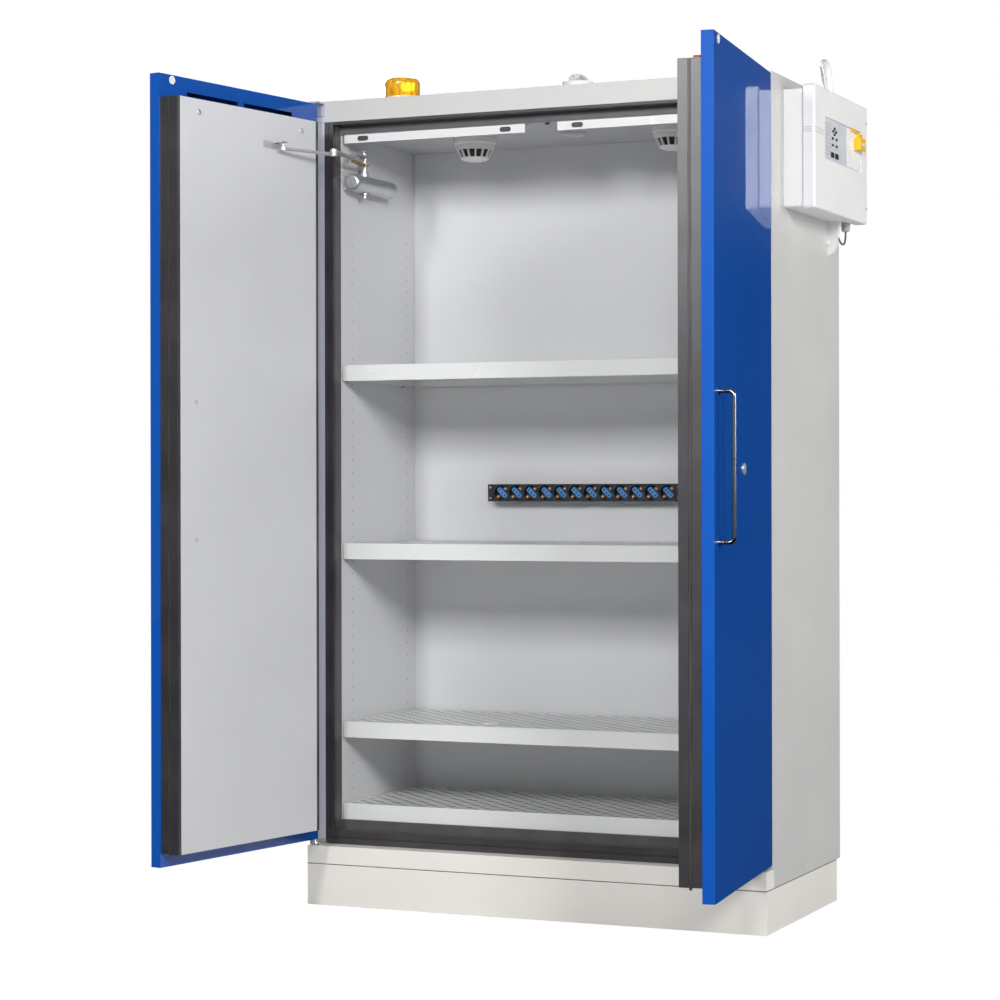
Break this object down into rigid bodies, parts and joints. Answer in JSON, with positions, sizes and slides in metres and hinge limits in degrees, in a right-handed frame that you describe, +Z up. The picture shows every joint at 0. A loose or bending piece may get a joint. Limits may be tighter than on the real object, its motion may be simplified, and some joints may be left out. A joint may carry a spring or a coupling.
{
  "type": "battery charging cabinet",
  "caption": "Fire-resistant cabinet for charging and storing batteries, with hinged doors on closers, perforated shelves, socket strip, smoke detectors, roof lamps and a control unit.",
  "frame": {"origin": "On the floor, under the middle of the plinth's width and at mid depth of the cabinet body.", "axes": "+Z up, +X to the right seen from the front, the doors face -Y. Both doors are stored open, as pictured."},
  "size_m": [1.4365, 1.1762, 2.1],
  "materials": {
    "body grey": "satin powder coat",
    "plinth grey": "satin powder coat",
    "door blue": "gloss powder coat",
    "panel grey": "satin powder coat",
    "insulating board": "matte mineral board",
    "lining board": "satin coated board",
    "seal black": "satin",
    "edging black": "semi-gloss film",
    "shelf paint": "satin powder coat",
    "steel": "zinc plated",
    "white plastic": "satin",
    "unit plastic": "fine-textured",
    "socket black": "satin",
    "socket blue": "satin",
    "amber lens": "translucent gloss",
    "clear dome": "clear",
    "display film": "satin film",
    "yellow plastic": "satin",
    "grey plastic": "satin",
    "cable black": "matte",
    "conduit white": "ribbed",
    "closer silver": "silver lacquer",
    "handle chrome": "dark polished",
    "lock chrome": "polished",
    "link brass": "worn",
    "red rubber": "matte"
  },
  "bodies": {
    "cabinet": {"base_frame": "plinth grey", "sill_panel": "plinth grey", "side_panels": "body grey", "rear_panel": "body grey", "roof_panel": "body grey", "header_panel": "body grey", "insulation_boards": "insulating board", "side_liners": "lining board", "rear_liner": "lining board", "ceiling_liner": "lining board", "floor_liner": "lining board", "frame_seal": "seal black", "jamb_lining": "seal black", "shelves": "shelf paint", "floor_tray": "shelf paint", "shelf_pins": "steel", "ceiling_rails": "shelf paint", "rail_plugs": "seal black", "detector_bases": "white plastic", "detector_heads": "white plastic", "ceiling_valve": "steel", "socket_housing": "socket black", "socket_inserts": "socket blue", "lamp_bases": "white plastic", "beacon_lens": "amber lens", "signal_dome": "clear dome", "unit_back_box": "unit plastic", "unit_cover": "unit plastic", "display_panel": "display film", "seal_clip": "yellow plastic", "cable_glands": "grey plastic", "unit_cable": "cable black", "conduit": "conduit white", "cable_hood": "white plastic", "panel_screws": "body grey", "hinge_brackets": "steel", "closer_bodies": "closer silver"},
    "left door": {"door_pan_left": "door blue", "door_core_left": "insulating board", "door_edging_left": "edging black", "door_panel_left": "panel grey", "door_handle_left": "handle chrome", "door_hardware_left": "closer silver", "door_plug_left": "white plastic"},
    "right door": {"door_pan_right": "door blue", "door_core_right": "insulating board", "door_edging_right": "edging black", "door_panel_right": "panel grey", "door_handle_right": "handle chrome", "door_hardware_right": "closer silver", "door_plug_right": "white plastic", "door_buffer": "red rubber", "lock_cylinder": "lock chrome"},
    "left closer arm": {"closer_arm_left": "closer silver", "closer_link_left": "link brass"},
    "right closer arm": {"closer_arm_right": "closer silver", "closer_link_right": "link brass"},
    "left closer forearm": {"closer_forearm_left": "closer silver"},
    "right closer forearm": {"closer_forearm_right": "closer silver"},
    "lock plug": {"lock_plug": "lock chrome"}
  },
  "joints": [
    {"name": "left door hinge", "type": "hinge", "parent": "cabinet", "child": "left door", "pos_m": [-0.5918, -0.2858, 1.0785], "axis": [0, 0, 1], "range_deg": [-2.2, 99.8]},
    {"name": "right door hinge", "type": "hinge", "parent": "cabinet", "child": "right door", "pos_m": [0.5918, -0.2858, 1.0785], "axis": [0, 0, -1], "range_deg": [-5.8, 96.2]},
    {"name": "left closer spindle", "type": "hinge", "parent": "cabinet", "child": "left closer arm", "pos_m": [-0.517, -0.1384, 1.873], "axis": [0, 0, 1], "range_deg": [-3, 101]},
    {"name": "right closer spindle", "type": "hinge", "parent": "cabinet", "child": "right closer arm", "pos_m": [0.517, -0.1384, 1.873], "axis": [0, 0, -1], "range_deg": [-7, 98]},
    {"name": "left closer elbow", "type": "hinge", "parent": "left closer arm", "child": "left closer forearm", "pos_m": [-0.4817, -0.37579, 1.862], "axis": [0, 0, 1], "range_deg": [-109, 4]},
    {"name": "right closer elbow", "type": "hinge", "parent": "right closer arm", "child": "right closer forearm", "pos_m": [0.4657, -0.37285, 1.862], "axis": [0, 0, -1], "range_deg": [-105, 8]},
    {"name": "lock cylinder", "type": "hinge", "parent": "right door", "child": "lock plug", "pos_m": [0.63786, -0.57834, 1.0765], "axis": [-0.9942, -0.108, 0], "range_deg": [0, 90]}
  ],
  "couplings": [
    {"joint": "left closer spindle", "follows": "left door hinge", "ratio": 1.0017},
    {"joint": "left closer elbow", "follows": "left door hinge", "ratio": -1.0771},
    {"joint": "right closer spindle", "follows": "right door hinge", "ratio": 0.99883},
    {"joint": "right closer elbow", "follows": "right door hinge", "ratio": -1.0713}
  ]
}
